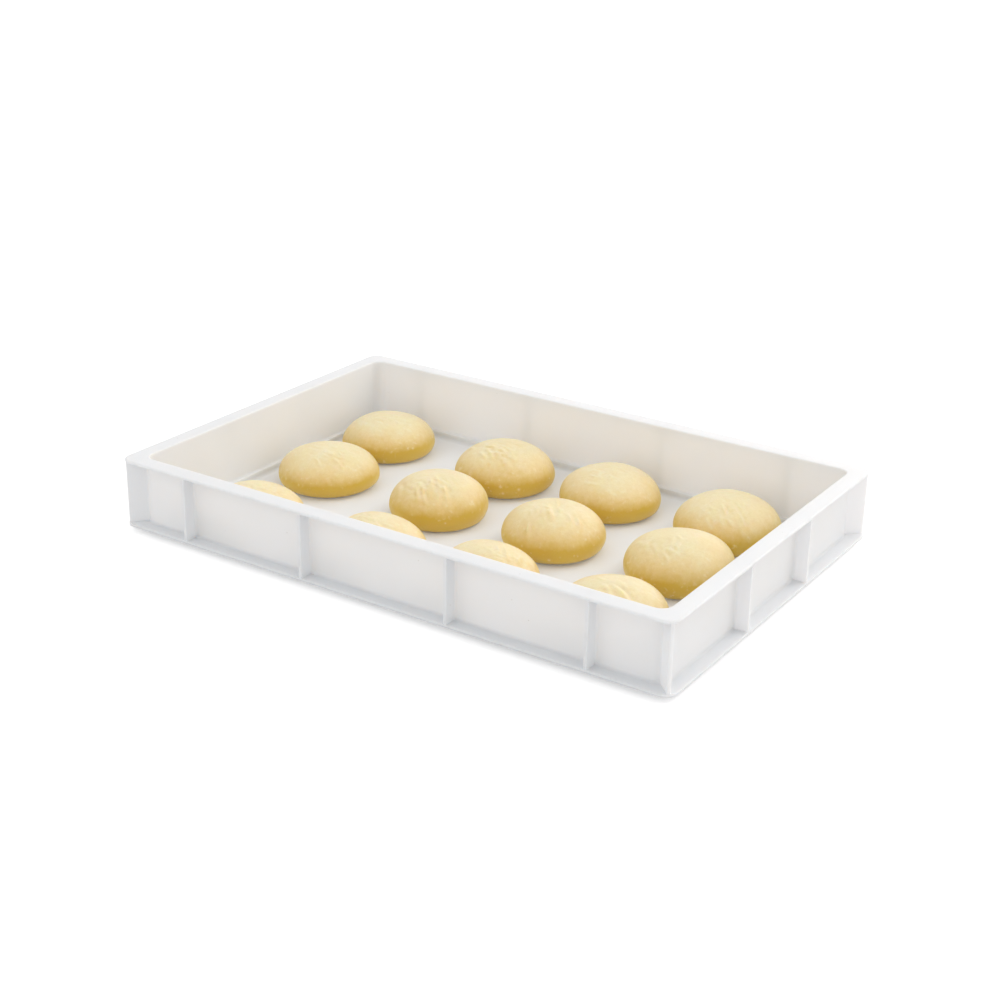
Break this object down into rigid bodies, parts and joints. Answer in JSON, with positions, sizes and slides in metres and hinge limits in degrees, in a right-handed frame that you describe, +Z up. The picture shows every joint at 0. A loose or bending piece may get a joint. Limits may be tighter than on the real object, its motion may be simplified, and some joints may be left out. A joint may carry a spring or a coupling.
{
  "type": "dough proofing tray",
  "caption": "Shallow white stackable plastic tray with a flat rim, ribbed walls and a stacking foot, with rounded portions of dough that rest on its floor and lift out.",
  "frame": {"origin": "middle of the stacking foot's underside, on the surface that the tray stands on", "axes": "+X along the tray's long side, to the right as seen from the front long side; +Y to the back; +Z up"},
  "size_m": [0.6, 0.4, 0.075],
  "materials": {
    "white_plastic": "white food-grade polyethylene with a fine satin mould finish, slightly translucent",
    "dough": "pale yellow yeast dough with a soft floured skin"
  },
  "bodies": {
    "tray": {"tray": "white_plastic"},
    "dough_back_1": {"dough_back_1": "dough"},
    "dough_back_2": {"dough_back_2": "dough"},
    "dough_back_3": {"dough_back_3": "dough"},
    "dough_back_4": {"dough_back_4": "dough"},
    "dough_middle_1": {"dough_middle_1": "dough"},
    "dough_middle_2": {"dough_middle_2": "dough"},
    "dough_middle_3": {"dough_middle_3": "dough"},
    "dough_middle_4": {"dough_middle_4": "dough"},
    "dough_front_1": {"dough_front_1": "dough"},
    "dough_front_2": {"dough_front_2": "dough"},
    "dough_front_3": {"dough_front_3": "dough"},
    "dough_front_4": {"dough_front_4": "dough"}
  },
  "joints": [
    {"name": "dough_back_1_lift", "type": "slide", "parent": "tray", "child": "dough_back_1", "axis": [0, 0, 1], "range_m": [0, 0.08]},
    {"name": "dough_back_2_lift", "type": "slide", "parent": "tray", "child": "dough_back_2", "axis": [0, 0, 1], "range_m": [0, 0.08]},
    {"name": "dough_back_3_lift", "type": "slide", "parent": "tray", "child": "dough_back_3", "axis": [0, 0, 1], "range_m": [0, 0.08]},
    {"name": "dough_back_4_lift", "type": "slide", "parent": "tray", "child": "dough_back_4", "axis": [0, 0, 1], "range_m": [0, 0.08]},
    {"name": "dough_middle_1_lift", "type": "slide", "parent": "tray", "child": "dough_middle_1", "axis": [0, 0, 1], "range_m": [0, 0.08]},
    {"name": "dough_middle_2_lift", "type": "slide", "parent": "tray", "child": "dough_middle_2", "axis": [0, 0, 1], "range_m": [0, 0.08]},
    {"name": "dough_middle_3_lift", "type": "slide", "parent": "tray", "child": "dough_middle_3", "axis": [0, 0, 1], "range_m": [0, 0.08]},
    {"name": "dough_middle_4_lift", "type": "slide", "parent": "tray", "child": "dough_middle_4", "axis": [0, 0, 1], "range_m": [0, 0.08]},
    {"name": "dough_front_1_lift", "type": "slide", "parent": "tray", "child": "dough_front_1", "axis": [0, 0, 1], "range_m": [0, 0.08]},
    {"name": "dough_front_2_lift", "type": "slide", "parent": "tray", "child": "dough_front_2", "axis": [0, 0, 1], "range_m": [0, 0.08]},
    {"name": "dough_front_3_lift", "type": "slide", "parent": "tray", "child": "dough_front_3", "axis": [0, 0, 1], "range_m": [0, 0.08]},
    {"name": "dough_front_4_lift", "type": "slide", "parent": "tray", "child": "dough_front_4", "axis": [0, 0, 1], "range_m": [0, 0.08]}
  ]
}
